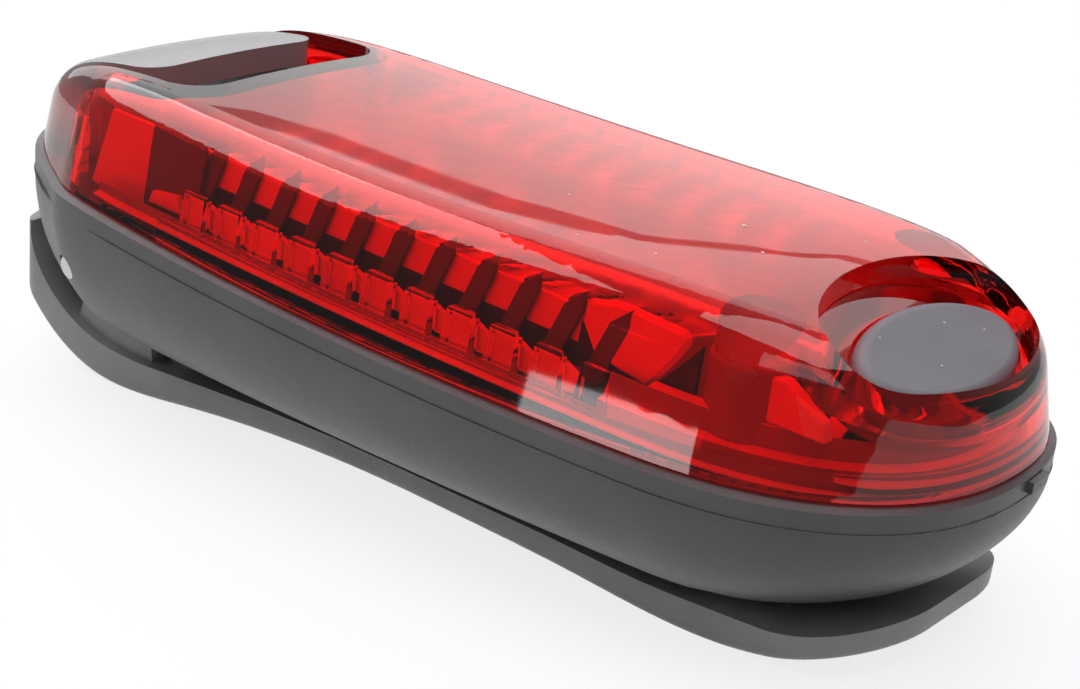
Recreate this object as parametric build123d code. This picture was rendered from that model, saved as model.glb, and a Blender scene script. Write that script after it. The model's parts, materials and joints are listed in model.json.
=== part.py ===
from build123d import *
import math
import os

os.makedirs("parts", exist_ok=True)

# Clip-on bicycle light with five lamps under a red lens cover. Millimetres throughout.
# The housing frame used below has +X towards the push button, +Y to the left of it and +Z up
# out of the lens. Its zero is the middle of the joint between lens cover and base.
# At the end every piece is set down on the clip, so that Z = 0 is the table.

# Plan outline of the body at the joint
BODY_LENGTH = 76.0
BODY_WIDTH = 29.2
SIDE_BULGE = 1.75
BUTTON_END_ROUND = 16.0
HINGE_END_ROUND = 17.8
END_SQUARENESS = 2.4
JOINT_RISE = 1.2

# Lens cover
LENS_DRAFT = 12.4
HINGE_END_LEAN = 0.55
LENS_WALL = 1.3
LENS_ROOF = 1.4
LENS_SHOULDER = 3.4
LENS_CROWN_RADIUS = 125.0
LENS_SIDE_HEIGHT = 3.5
LENS_LEAN = 0.19
LENS_DOME = 5.5
LENS_DROOP_POWER = 5.7
SKIRT_DEPTH = 1.5
SKIRT_WALL = 0.9
SKIRT_GAP = 0.1
SKIRT_START_X = -16.9

# Lanyard notch at the hinge end of the lens, and the bridge of the base that stands in it
NOTCH_EDGE_X = -18.8
NOTCH_HALF_WIDTH = 8.9
NOTCH_CORNER = 3.0
NOTCH_WALL = 1.2
ARM_SPACE_X = -27.5
ARM_END_X = -35.6
SLOT_GAP = 5.6
BRIDGE_SIDE_GAP = 1.1
BRIDGE_WALL = 1.8
BRIDGE_SINK = 0.1
BRIDGE_CORNER = 2.2
WINDOW_HALF_WIDTH = 4.7
WINDOW_SILL_Z = -0.2
WINDOW_TOP_Z = 3.2
DECK_Z = -1.4
DECK_THICKNESS = 1.2
DECK_END_X = -17.3

# Base housing
RIM_FLARE = 0.42
RIM_BAND = 1.1
BASE_WALL = 1.5
BASE_FLOOR = 1.4
HULL_STRAIGHT = 0.8
HULL_DEPTH = 10.0
HULL_SIDE_CURVE = 7.0
HULL_HINGE_CURVE = 7.6
HULL_BUTTON_CURVE = 11.9
HULL_TAPER = 0.17
CELL_BAY_X = -19.8

# Hinge, clip and spring
HINGE_X = -26.5
HINGE_Z = -5.3
PIN_RADIUS = 0.9
PIN_LENGTH = 25.2
PIN_FIT = 0.02
EAR_FIT = 0.06
EAR_RADIUS = 2.4
EAR_THICKNESS = 2.0
EAR_OUTER_Y = 8.4
POCKET_HALF_WIDTH = 9.5
POCKET_MID_X = -29.7
POCKET_END_X = -22.2
TAIL_ROOM_Z = -3.24
CLIP_HALF_WIDTH = 9.2
CLIP_TIP_X = 36.1
CLIP_TIP_ROUND = 6.6
CLIP_TAIL_PROUD = 0.45
CLIP_TAIL_CORNER = 2.0
CLIP_TAIL_BOW = 2.6
CLIP_SIDE_GAP = 0.3
CLIP_EDGE = 0.6
CLIP_UNDERSIDE = [(-39.2, -5.8), (-37.9, -8.9), (-35.6, -11.8), (-32.2, -14.1), (-28.2, -15.2),
                  (-24.2, -15.1), (-18.8, -14.2), (-13.3, -13.3), (-8.0, -12.65), (-1.5, -12.1),
                  (7.0, -11.8), (16.0, -11.7), (23.0, -11.75), (26.5, -11.45), (30.5, -10.55),
                  (34.0, -9.35), (37.5, -8.05)]
CLIP_INSIDE = [(37.5, -6.3), (35.4, -7.25), (33.0, -8.15), (30.5, -8.8), (26.5, -9.3),
               (23.5, -9.6), (20.5, -9.8), (14.0, -9.9), (7.0, -10.15), (-1.5, -10.45),
               (-8.0, -10.85), (-13.3, -11.35), (-18.8, -12.0), (-24.2, -12.5), (-28.0, -12.4),
               (-31.4, -11.4), (-34.2, -9.4), (-35.6, -7.2), (-35.9, -5.8)]
TOOTH_COUNT = 4
TOOTH_PITCH = 1.9
TOOTH_FIRST_X = 23.2
SPRING_WIRE = 0.6
SPRING_MEAN_RADIUS = 1.75
SPRING_TURNS = 5
SPRING_PITCH = 1.1
SPRING_LEG = 6.6
SPRING_SEAT_X = -33.6
REST_TRIM = 0.1

# Push button and its switch
BUTTON_X = 32.05
BUTTON_HALF_LENGTH = 3.4
BUTTON_HALF_WIDTH = 7.2
BUTTON_TILT = 19.0
BUTTON_TOP_Z = 6.7
BUTTON_EDGE = 0.7
BUTTON_GAP = 0.22
BUTTON_FLANGE = 0.6
BUTTON_FLANGE_SHIFT = 0.55
BUTTON_FLANGE_HEIGHT = 0.7
BUTTON_TRAVEL = 0.4
COLLAR_WALL = 1.2
COLLAR_MARGIN = 0.6
COLLAR_GAP = 0.12
DISH_SHIFT = 0.7
DISH_MARGIN = 1.4
DISH_DEPTH = 0.8
STEM_RADIUS = 1.4
SWITCH_X = 31.7
SWITCH_SIZE = 4.5
SWITCH_HEIGHT = 2.4
PLUNGER_RADIUS = 1.1
PLUNGER_PROUD = 0.9
PLUNGER_SEAT = 0.8
PLUNGER_FIT = 0.05

# Circuit board and lamps
BOARD_TOP_Z = -0.6
BOARD_THICKNESS = 1.0
BOARD_INSET = 3.3
BOARD_START_X = -16.9
LAMP_COUNT = 5
LAMP_PITCH = 7.3
LAMP_FIRST_X = -13.1
LAMP_RADIUS = 1.5
LAMP_FLANGE_RADIUS = 1.9
LAMP_FLANGE = 0.8
LAMP_BODY = 2.9
LEAD_SPACING = 2.54
LEAD_SIZE = 0.45
LEAD_LENGTH = 1.5
LEAD_HOLE = 0.36
CHIP_X = 26.0
CHIP_SIZE = [4.0, 4.9, 1.4]
RESISTOR_X = 22.2
RESISTOR_SIZE = [1.25, 2.0, 0.5]
RESISTOR_PITCH = 3.4
RESISTOR_COUNT = 3

# Reflector tray round the lamps
REFLECTOR_HALF_WIDTH = 9.6
REFLECTOR_HEIGHT = 4.9
REFLECTOR_RIB = 0.7
REFLECTOR_LIP = 1.7
REFLECTOR_THROAT = 2.1
REFLECTOR_FLUTES = 10
REFLECTOR_FLUTE_DEPTH = 0.9

# Prism teeth inside the long walls of the lens
PRISM_COUNT = 11
PRISM_PITCH = 3.25
PRISM_FIRST_X = -15.0
PRISM_BOTTOM = 1.3
PRISM_TOP = 3.6
PRISM_DEPTH = 1.0

# Coin cells, tray and contacts
CELL_RADIUS = 10.0
CELL_HEIGHT = 3.2
CELL_TOP_RADIUS = 8.7
CELL_STEP = 0.5
CELL_X = [-9.4, 11.6]
CELL_GAP = 0.25
CELL_BASE_Z = -6.7
CRADLE_WALL = 0.8
CRADLE_HEIGHT = 2.2
CRADLE_POST = 4.0
TRAY_THICKNESS = 0.6
TRAY_GAP = 0.25
TRAY_PAD = 2.0
CONTACT_THICKNESS = 0.3
CONTACT_WIDTH = 4.0
CONTACT_Y = 5.6
CONTACT_FOOT = 2.4
CONTACT_REACH = 7.5
LINK_HALF_WIDTH = 3.5

# Case screws with the pillars that they pass through
SCREW_X = 26.0
SCREW_Y = 8.6
SCREW_RADIUS = 1.0
SCREW_HOLE_GAP = 0.2
SCREW_HEAD_RADIUS = 1.9
SCREW_HEAD_HEIGHT = 1.3
SCREW_SEAT_Z = -6.3
SCREW_END_Z = 4.0
SCREW_SLOT = 0.5
PILLAR_RADIUS = 2.8
POST_RADIUS = 2.2

# Seal under the skirt of the lens
SEAL_INSET = 1.2
SEAL_WIDTH = 0.7
SEAL_HEIGHT = 0.5
LEDGE_WIDTH = 1.1
LEDGE_HEIGHT = 0.9

SPAN = 60.0


def block(x0, x1, y0, y1, z0, z1):
    """Box between two corners."""
    centre = Pos((x0 + x1) / 2, (y0 + y1) / 2, (z0 + z1) / 2)
    return centre * Box(x1 - x0, y1 - y0, z1 - z0)


def post(x, y, radius, z0, z1):
    """Upright cylinder."""
    return Pos(x, y, (z0 + z1) / 2) * Cylinder(radius, z1 - z0)


def plan_edges(side_inset, hinge_inset, button_inset):
    """Closed pill-shaped plan outline, drawn in by the insets: two arcs and two rounded ends."""
    hinge_end = BODY_LENGTH / 2 - hinge_inset
    button_end = BODY_LENGTH / 2 - button_inset
    half_width = BODY_WIDTH / 2 - side_inset
    power = 2 / END_SQUARENESS

    def width_at(x):
        return half_width - SIDE_BULGE * (x / (BODY_LENGTH / 2)) ** 2

    def end_points(reach, radius, sign):
        points = []
        for angle in [-67.5, -45, -22.5, 0, 22.5, 45, 67.5]:
            along = math.cos(math.radians(angle)) ** power
            across = math.sin(math.radians(abs(angle))) ** power
            x = sign * (reach - radius + radius * along)
            points.append((x, math.copysign(across * width_at(x), sign * angle)))
        return points

    far_x = HINGE_END_ROUND - BODY_LENGTH / 2
    near_x = BODY_LENGTH / 2 - BUTTON_END_ROUND
    mid_x = (far_x + near_x) / 2
    side_x = [far_x, mid_x, near_x]
    right = ThreePointArc(*[(x, -width_at(x)) for x in side_x])
    left = ThreePointArc(*[(x, width_at(x)) for x in reversed(side_x)])
    near_points = end_points(button_end, button_end - near_x, 1)
    far_points = end_points(hinge_end, hinge_end + far_x, -1)
    near = Spline(right @ 1, *near_points, left @ 0, tangents=[right % 1, left % 0])
    far = Spline(left @ 1, *far_points, right @ 0, tangents=[left % 1, right % 0])
    return [right.edge(), near.edge(), left.edge(), far.edge()]


def outline(insets, z=0.0, slope=0.0):
    """Plan outline as a face at height z, in a plane that rises by slope along X."""
    flat = make_face(plan_edges(*insets))
    return Pos(0, 0, z) * Rot(0, -math.degrees(math.atan(slope)), 0) * flat


def prism(inset, z0, z1):
    """Straight-sided body of the plan outline."""
    return extrude(outline([inset, inset, inset], z0), z1 - z0)


def joint_drum(lift=0.0):
    """Drum whose lower surface is the curved joint between lens and base, moved up by lift."""
    half = BODY_LENGTH / 2
    radius = (half ** 2 + JOINT_RISE ** 2) / (2 * JOINT_RISE)
    return Pos(0, 0, radius) * Rot(90, 0, 0) * Cylinder(radius - lift, SPAN)


def lens_top(x):
    """Height of the crown line of the lens at x."""
    share = x / (BODY_LENGTH / 2)
    dome = LENS_DOME * (1 - abs(share) ** LENS_DROOP_POWER)
    return LENS_SIDE_HEIGHT * (1 + LENS_LEAN * share) + dome + JOINT_RISE * share ** 2


def lens_roof(drop):
    """Everything below the crowned top of the lens, moved down by drop."""
    sections = []
    half = BODY_WIDTH / 2 + 2
    sag = half ** 2 / (2 * LENS_CROWN_RADIUS)
    steps = 10
    for index in range(-steps, steps + 1):
        x = 1.12 * BODY_LENGTH / 2 * index / steps
        top = lens_top(x) - drop
        arc = ThreePointArc((half, top - sag), (0, top), (-half, top - sag))
        floor = Polyline((-half, top - sag), (-half, -12), (half, -12), (half, top - sag))
        sections.append(Plane.YZ.offset(x) * make_face([arc.edge(), *floor.edges()]))
    return loft(sections)


def lens_form(inset, drop, shoulder):
    """Solid body under the lens skin: drafted sides, crowned top and a rounded shoulder."""
    lean = math.tan(math.radians(LENS_DRAFT))
    levels = [-3.0, 12.0]
    sections = []
    for z in levels:
        end_inset = inset + (z - JOINT_RISE) * lean
        hinge_inset = inset + (z - JOINT_RISE) * lean * HINGE_END_LEAN
        sections.append(outline([inset + z * lean, hinge_inset, end_inset], z))
    form = loft(sections, ruled=True) & lens_roof(drop)
    top_edges = [edge for edge in form.edges() if edge.bounding_box().min.Z > 1.5]
    return fillet(top_edges, shoulder)


def notch_body(grow, z0, z1):
    """Upright body of the lanyard notch, made larger all round by grow."""
    half = NOTCH_HALF_WIDTH + grow
    body = block(-SPAN, NOTCH_EDGE_X + grow, -half, half, z0, z1)
    corners = body.edges().filter_by(Axis.Z).group_by(Axis.X)[-1]
    return fillet(corners, NOTCH_CORNER + grow)


def hull_form(wall, floor):
    """Solid body of the base hull, drawn in by wall and floor, with straight sides up to the lens."""
    sections = []
    depth = HULL_DEPTH - HULL_STRAIGHT - floor
    for angle in [0, 18, 36, 52, 66, 78, 90]:
        curve = 1 - math.cos(math.radians(angle))
        level = HULL_STRAIGHT + depth * math.sin(math.radians(angle))
        start = wall - RIM_FLARE
        insets = [start + size * curve for size in (HULL_SIDE_CURVE, HULL_HINGE_CURVE, HULL_BUTTON_CURVE)]
        sections.append(outline(insets, -level, level * HULL_TAPER / (BODY_LENGTH / 2)))
    bowl = loft(sections)
    return bowl + extrude(sections[0], 8.0, dir=(0, 0, 1))


def hull_bottom(x):
    """Height of the flat underside of the hull at x."""
    return -HULL_DEPTH * (1 - HULL_TAPER * x / (BODY_LENGTH / 2))


def oval(half_length, half_width, x, z0, z1):
    """Upright body with the oval plan of the push button."""
    return extrude(Pos(x, 0, z0) * make_face(Ellipse(half_length, half_width).edges()), z1 - z0)


def below_slope(lift):
    """Large body below the slanted top of the push button, moved by lift along its normal."""
    half = SPAN / 2
    face = Pos(BUTTON_X, 0, BUTTON_TOP_Z) * Rot(0, BUTTON_TILT, 0)
    return face * Pos(0, 0, lift - half) * Box(SPAN, SPAN, SPAN)


def ring_strip(inset, width, upper, lower):
    """Strip that follows the inside of the body between two depths under the joint."""
    strip = prism(inset, -8, 4) - prism(inset + width, -9, 5)
    strip = (strip & joint_drum(-lower)) - joint_drum(-upper)
    return strip & block(SKIRT_START_X, SPAN, -SPAN, SPAN, -9, 5)


# Places that follow from the sizes above
bridge_tip_x = NOTCH_EDGE_X - SLOT_GAP
bridge_half = NOTCH_HALF_WIDTH - BRIDGE_SIDE_GAP
board_low_z = BOARD_TOP_Z - BOARD_THICKNESS
tray_top_z = CELL_BASE_Z - CONTACT_THICKNESS
cell_top_z = CELL_BASE_Z + CELL_HEIGHT
lamp_x = [LAMP_FIRST_X + index * LAMP_PITCH for index in range(LAMP_COUNT)]
skirt_inset = BASE_WALL - RIM_FLARE + SKIRT_GAP
seal_top = SKIRT_DEPTH
seal_bottom = SKIRT_DEPTH + SEAL_HEIGHT
plunger_top_z = BOARD_TOP_Z + SWITCH_HEIGHT + PLUNGER_PROUD
screw_places = [(SCREW_X, -SCREW_Y), (SCREW_X, SCREW_Y)]
skin = lens_form(0, 0, LENS_SHOULDER)


def prism_strip(side):
    """Row of prism teeth on the inside of one long wall of the lens."""
    wall = side * BODY_WIDTH / 2
    root = side * (BODY_WIDTH / 2 - LENS_WALL - 0.5)
    tip = root - side * PRISM_DEPTH
    points = [(PRISM_FIRST_X, wall)]
    for index in range(PRISM_COUNT):
        x = PRISM_FIRST_X + index * PRISM_PITCH
        points += [(x, root), (x, tip), (x + 0.5 * PRISM_PITCH, tip), (x + 0.8 * PRISM_PITCH, root)]
    last_x = PRISM_FIRST_X + PRISM_COUNT * PRISM_PITCH
    points += [(last_x, root), (last_x, wall)]
    shape = make_face(Polyline(*points, close=True))
    return extrude(Pos(0, 0, PRISM_BOTTOM) * shape, PRISM_TOP - PRISM_BOTTOM)


def make_lens():
    """Red cover: a shell with a lanyard notch, a skirt, prism teeth, posts and the button's collar."""
    hollow = lens_form(LENS_WALL, LENS_ROOF, LENS_SHOULDER - LENS_WALL)
    hollow = hollow & block(ARM_SPACE_X, SPAN, -SPAN, SPAN, -5, 14)
    hollow = hollow - notch_body(NOTCH_WALL, -6, 15)
    body = (skin & joint_drum()) - hollow
    inside = [prism_strip(-1), prism_strip(1)]
    inside += [post(x, y, POST_RADIUS, BOARD_TOP_Z, 9) for x, y in screw_places]
    hole = [BUTTON_HALF_LENGTH + BUTTON_GAP, BUTTON_HALF_WIDTH + BUTTON_GAP]
    rim = [size + DISH_MARGIN for size in hole]
    collar = oval(rim[0] + COLLAR_MARGIN, rim[1] + COLLAR_MARGIN, BUTTON_X - DISH_SHIFT, 0, 12)
    inside.append((collar & below_slope(-DISH_DEPTH)) - below_slope(-DISH_DEPTH - COLLAR_WALL))
    for piece in inside:
        body = body + (piece & skin)
    body = body + ring_strip(skirt_inset, SKIRT_WALL, -1, SKIRT_DEPTH)
    dish = oval(rim[0], rim[1], BUTTON_X - DISH_SHIFT, 0, 14)
    body = body - notch_body(0, -6, 15)
    body = body - (dish - below_slope(-DISH_DEPTH))
    body = body - oval(hole[0], hole[1], BUTTON_X, -3, 14)
    for x, y in screw_places:
        body = body - post(x, y, SCREW_RADIUS + PIN_FIT, BOARD_TOP_Z - 1, SCREW_END_Z + 0.6)
    return body & block(ARM_END_X, SPAN, -SPAN, SPAN, -9, 15)


def make_bridge():
    """Tongue of the base that stands in the notch of the lens, hollow for the lanyard."""
    tongue = block(-SPAN, bridge_tip_x, -bridge_half, bridge_half, DECK_Z, 14)
    corners = tongue.edges().filter_by(Axis.Z).group_by(Axis.X)[-1]
    tongue = fillet(corners, BRIDGE_CORNER) & lens_form(BRIDGE_SINK / 2, BRIDGE_SINK, LENS_SHOULDER)
    root = skin & block(-SPAN, ARM_END_X - SKIRT_GAP, -SPAN, SPAN, DECK_Z, 14)
    hollow = lens_roof(BRIDGE_SINK + BRIDGE_WALL)
    inside_x = -(BODY_LENGTH / 2 - 2 * BRIDGE_WALL)
    hollow = hollow & block(inside_x, bridge_tip_x + 1, -WINDOW_HALF_WIDTH, WINDOW_HALF_WIDTH, DECK_Z, 14)
    window = block(-SPAN, inside_x + 1, -WINDOW_HALF_WIDTH, WINDOW_HALF_WIDTH, WINDOW_SILL_Z, WINDOW_TOP_Z)
    return (tongue + root) - hollow, hollow + window


def make_base():
    """Dark shell: hull with a rim band, cell bay, hinge pocket, pillars and the bridge."""
    body = hull_form(0, 0) - joint_drum()
    top_face = body.faces().sort_by(Axis.Z)[-1]
    body = chamfer(top_face.edges(), RIM_FLARE, RIM_BAND, reference=top_face)
    inner = hull_form(BASE_WALL, BASE_FLOOR)
    deck_low = DECK_Z - DECK_THICKNESS
    body = body - (inner & block(CELL_BAY_X, SPAN, -SPAN, SPAN, -16, deck_low))
    body = body - (inner & block(DECK_END_X, SPAN, -SPAN, SPAN, deck_low - 1, 9))
    body = body + (ring_strip(BASE_WALL - RIM_FLARE - 0.2, LEDGE_WIDTH + 0.2, seal_bottom, seal_bottom
                              + LEDGE_HEIGHT))
    pads = [post(x + dx, dy, TRAY_PAD, -12, tray_top_z - TRAY_THICKNESS)
            for x in CELL_X for dx, dy in ((-5, -5), (-5, 5), (5, -5), (5, 5))]
    pads += [post(x, y, PILLAR_RADIUS, -12, board_low_z) for x, y in screw_places]
    hull = hull_form(BASE_WALL / 2, BASE_FLOOR / 2)
    for pad in pads:
        body = body + (pad & hull)
    for x, y in screw_places:
        body = body - post(x, y, SCREW_RADIUS + SCREW_HOLE_GAP, -14, 2)
        body = body - post(x, y, SCREW_HEAD_RADIUS + SCREW_HOLE_GAP, -14, SCREW_SEAT_Z)
    bridge, tunnel = make_bridge()
    body = body - block(bridge_tip_x - 1, NOTCH_EDGE_X, -NOTCH_HALF_WIDTH, NOTCH_HALF_WIDTH, DECK_Z, 6)
    body = body + bridge - tunnel
    half = POCKET_HALF_WIDTH
    body = body - block(-SPAN, POCKET_MID_X, -half, half, -20, TAIL_ROOM_Z)
    body = body - block(POCKET_MID_X - 1, POCKET_END_X, -half, half, -20, deck_low)
    bore = Pos(HINGE_X, 0, HINGE_Z) * Rot(90, 0, 0) * Cylinder(PIN_RADIUS + PIN_FIT, 2 * half + 20)
    return body - bore


def profile_plate(points_low, points_high, half_width):
    """Plate with a side profile between two smooth curves, drawn across the body."""
    low = Spline(*points_low)
    high = Spline(*points_high)
    ends = [Line(low @ 1, high @ 0), Line(high @ 1, low @ 0)]
    face = Plane.XZ * make_face([low.edge(), high.edge(), *[line.edge() for line in ends]])
    return Pos(0, half_width, 0) * extrude(face, 2 * half_width)


def make_clip():
    """Clip lever: deep belly at the hinge, thin arm, curled tip with grip teeth, two ears."""
    body = profile_plate(CLIP_UNDERSIDE, CLIP_INSIDE, CLIP_HALF_WIDTH)
    half = CLIP_HALF_WIDTH
    tail_x = -(BODY_LENGTH / 2 + RIM_FLARE + CLIP_TAIL_PROUD)
    corner_x = tail_x + CLIP_TAIL_BOW
    tail = ThreePointArc((corner_x, -half), (tail_x, 0), (corner_x, half))
    sides = Polyline((corner_x, half), (CLIP_TIP_X, half), (CLIP_TIP_X, -half), (corner_x, -half))
    plan = make_face([tail.edge(), *sides.edges()])
    plan = fillet(plan.vertices().group_by(Axis.X)[-1], CLIP_TIP_ROUND)
    plan = fillet(plan.vertices().group_by(Axis.X)[0], CLIP_TAIL_CORNER)
    body = body & extrude(Pos(0, 0, -20) * plan, 20)
    underside = body.faces().sort_by(SortBy.AREA)[-1]
    body = fillet(underside.edges(), CLIP_EDGE)
    web = [(-EAR_RADIUS, 0), (EAR_RADIUS, 0), (EAR_RADIUS + 1.4, -8.0), (-EAR_RADIUS - 2.6, -8.0)]
    ear_inner = EAR_OUTER_Y - EAR_THICKNESS
    for side in (-1, 1):
        middle = side * (EAR_OUTER_Y + ear_inner) / 2
        ear = Pos(HINGE_X, middle, HINGE_Z) * Rot(90, 0, 0) * Cylinder(EAR_RADIUS, EAR_THICKNESS)
        leg = Plane.XZ * make_face(Polyline(*[(HINGE_X + x, HINGE_Z + z) for x, z in web], close=True))
        body = body + ear + Pos(0, middle + EAR_THICKNESS / 2, 0) * extrude(leg, EAR_THICKNESS)
    for index in range(TOOTH_COUNT):
        x = TOOTH_FIRST_X + index * TOOTH_PITCH
        top = hull_bottom(x) - CLIP_SIDE_GAP
        tooth = [(x - 0.7 * TOOTH_PITCH, top - 1.2), (x - 0.15, top), (x + 0.15, top), (x + 0.2, top - 1.2)]
        ridge = Plane.XZ * make_face(Polyline(*tooth, close=True))
        reach = CLIP_HALF_WIDTH - CLIP_TIP_ROUND / 2
        body = body + Pos(0, reach, 0) * extrude(ridge, 2 * reach)
    seat_top = HINGE_Z - SPRING_MEAN_RADIUS - SPRING_WIRE / 2
    body = body + block(SPRING_SEAT_X - 1.0, SPRING_SEAT_X + 1.0, 0, spring_half + 1.0, -12.5, seat_top)
    bore = Pos(HINGE_X, 0, HINGE_Z) * Rot(90, 0, 0) * Cylinder(PIN_RADIUS + EAR_FIT, 2 * POCKET_HALF_WIDTH)
    return body - bore


def half_turn(start, end, start_way, end_way):
    """Two arcs that join smoothly from one point and direction to another."""
    step = end - start
    ways = start_way + end_way
    spread = 2 * (1 - start_way.dot(end_way))
    reach = step.dot(ways)
    pull = (math.sqrt(reach ** 2 + spread * step.dot(step)) - reach) / spread
    middle = (start + start_way * pull + end - end_way * pull) / 2
    first = TangentArc(start, middle, tangent=start_way)
    second = TangentArc(middle, end, tangent=first % 1)
    return [first, second]


def spring_place(turn):
    """Point and direction on the coil after a number of turns."""
    angle = 2 * math.pi * turn
    point = Vector(HINGE_X + SPRING_MEAN_RADIUS * math.sin(angle), -spring_half + SPRING_PITCH * turn,
                   HINGE_Z + SPRING_MEAN_RADIUS * math.cos(angle))
    around = 2 * math.pi * SPRING_MEAN_RADIUS
    way = Vector(math.cos(angle) * around, SPRING_PITCH, -math.sin(angle) * around)
    return point, way.normalized()


def make_spring():
    """Torsion spring as one wire: a leg under the pocket roof, the coil, a leg on the clip's seat."""
    pieces = []
    quarter_count = 4 * SPRING_TURNS + 2
    for index in range(quarter_count):
        start, start_way = spring_place(index / 4)
        end, end_way = spring_place((index + 1) / 4)
        pieces += half_turn(start, end, start_way, end_way)
    first, first_way = spring_place(0)
    last, last_way = spring_place(quarter_count / 4)
    path = [Line(first - first_way * SPRING_LEG, first), *pieces, Line(last, last + last_way * SPRING_LEG)]
    route = Wire([piece.edge() for piece in path])
    profile = Plane(route @ 0, z_dir=route % 0) * Circle(SPRING_WIRE / 2)
    wire = sweep(profile, path=route)
    samples = [route @ (index / 400) for index in range(401)]
    least = min((a - b).length for i, a in enumerate(samples) for b in samples[i + 16:])
    print("spring: least gap to itself", round(least - SPRING_WIRE, 2), "mm, volume", round(wire.volume, 2),
          "mm3, section times length", round(math.pi * SPRING_WIRE ** 2 / 4 * route.length, 2), "mm3")
    return wire


def make_lamp(x):
    """Lamp with a round flange, a domed body and two leads that go through the board."""
    z = BOARD_TOP_Z
    dome_z = z + LAMP_FLANGE + LAMP_BODY
    body = post(x, 0, LAMP_FLANGE_RADIUS, z, z + LAMP_FLANGE)
    body = body + post(x, 0, LAMP_RADIUS, z, dome_z) + Pos(x, 0, dome_z) * Sphere(LAMP_RADIUS)
    half = LEAD_SIZE / 2
    for side in (-1, 1):
        lead = x + side * LEAD_SPACING / 2
        body = body + block(lead - half, lead + half, -half, half, z - LEAD_LENGTH, z + LAMP_FLANGE / 2)
    return body


def make_board():
    """Circuit board that fills the lamp chamber."""
    start = [BOARD_INSET] * 3
    board = extrude(outline(start, board_low_z), BOARD_THICKNESS)
    board = board & block(BOARD_START_X, SPAN, -SPAN, SPAN, -5, 5)
    for x in lamp_x:
        for side in (-1, 1):
            board = board - post(x + side * LEAD_SPACING / 2, 0, LEAD_HOLE, -5, 5)
    for x, y in screw_places:
        board = board - post(x, y, SCREW_RADIUS + SCREW_HOLE_GAP, -5, 5)
    return board


def make_reflector():
    """Tray with five square funnels round the lamps and fluted long sides."""
    start = lamp_x[0] - LAMP_PITCH / 2
    length = LAMP_COUNT * LAMP_PITCH
    pitch = length / REFLECTOR_FLUTES
    edge = []
    for index in range(REFLECTOR_FLUTES):
        x = start + index * pitch
        edge += [(x, REFLECTOR_HALF_WIDTH), (x + pitch / 2, REFLECTOR_HALF_WIDTH - REFLECTOR_FLUTE_DEPTH)]
    edge.append((start + length, REFLECTOR_HALF_WIDTH))
    edge += [(x, -y) for x, y in reversed(edge)]
    top = BOARD_TOP_Z + REFLECTOR_HEIGHT
    tray = extrude(Pos(0, 0, BOARD_TOP_Z) * make_face(Polyline(*edge, close=True)), REFLECTOR_HEIGHT)
    for x in lamp_x:
        low = Pos(x, 0, BOARD_TOP_Z - 0.01) * Rectangle(2 * REFLECTOR_THROAT, 2 * REFLECTOR_THROAT)
        wide = 2 * (REFLECTOR_HALF_WIDTH - REFLECTOR_LIP)
        high = Pos(x, 0, top + 0.01) * Rectangle(LAMP_PITCH - REFLECTOR_RIB, wide)
        tray = tray - loft([low, high], ruled=True)
    return tray


def make_cell(x):
    """Coin cell: a can with a narrower cap on top."""
    can = post(x, 0, CELL_RADIUS, CELL_BASE_Z, cell_top_z - CELL_STEP)
    return can + post(x, 0, CELL_TOP_RADIUS, cell_top_z - CELL_STEP, cell_top_z)


def make_tray():
    """Battery tray: a plate shaped to the hull, with round cradles and posts under the board."""
    low = tray_top_z - TRAY_THICKNESS
    start_x = CELL_BAY_X + TRAY_GAP
    end_x = SCREW_X - PILLAR_RADIUS - TRAY_GAP
    inner = CELL_RADIUS + CELL_GAP
    outer = inner + CRADLE_WALL
    half = CRADLE_POST / 2
    tray = block(start_x, end_x, -SPAN, SPAN, low, tray_top_z)
    for x in CELL_X:
        tray = tray + post(x, 0, outer, low, tray_top_z + CRADLE_HEIGHT)
        tray = tray + (post(x, 0, outer, low, board_low_z) & block(x - half, x + half, -SPAN, SPAN, -20, 0))
    room = hull_form(BASE_WALL + TRAY_GAP, BASE_FLOOR + TRAY_GAP) & block(start_x, SPAN, -SPAN, SPAN, -20, 0)
    tray = tray & room
    for x in CELL_X:
        tray = tray - post(x, 0, inner, tray_top_z, 5)
    half = LINK_HALF_WIDTH + CELL_GAP
    return tray - block(CELL_X[0], CELL_X[1], -half, half, tray_top_z, CELL_BASE_Z + CELL_GAP)


def make_link():
    """Contact plate under the two cells, with round ends."""
    plate = block(CELL_X[0], CELL_X[1], -LINK_HALF_WIDTH, LINK_HALF_WIDTH, tray_top_z, CELL_BASE_Z)
    for x in CELL_X:
        plate = plate + post(x, 0, LINK_HALF_WIDTH, tray_top_z, CELL_BASE_Z)
    return plate


def make_contact(x, side):
    """Bent strip from the board's underside down to the top of a cell."""
    thick = CONTACT_THICKNESS
    foot = CONTACT_FOOT
    reach = CONTACT_REACH
    points = [(0, board_low_z), (foot, board_low_z), (reach - 1, cell_top_z + thick),
              (reach, cell_top_z + thick), (reach, cell_top_z), (reach - 1.1, cell_top_z),
              (foot - 0.1, board_low_z - thick), (0, board_low_z - thick)]
    strip = Plane.XZ * make_face(Polyline(*[(x + dx, z) for dx, z in points], close=True))
    return Pos(0, side * CONTACT_Y + CONTACT_WIDTH / 2, 0) * extrude(strip, CONTACT_WIDTH)


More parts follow.
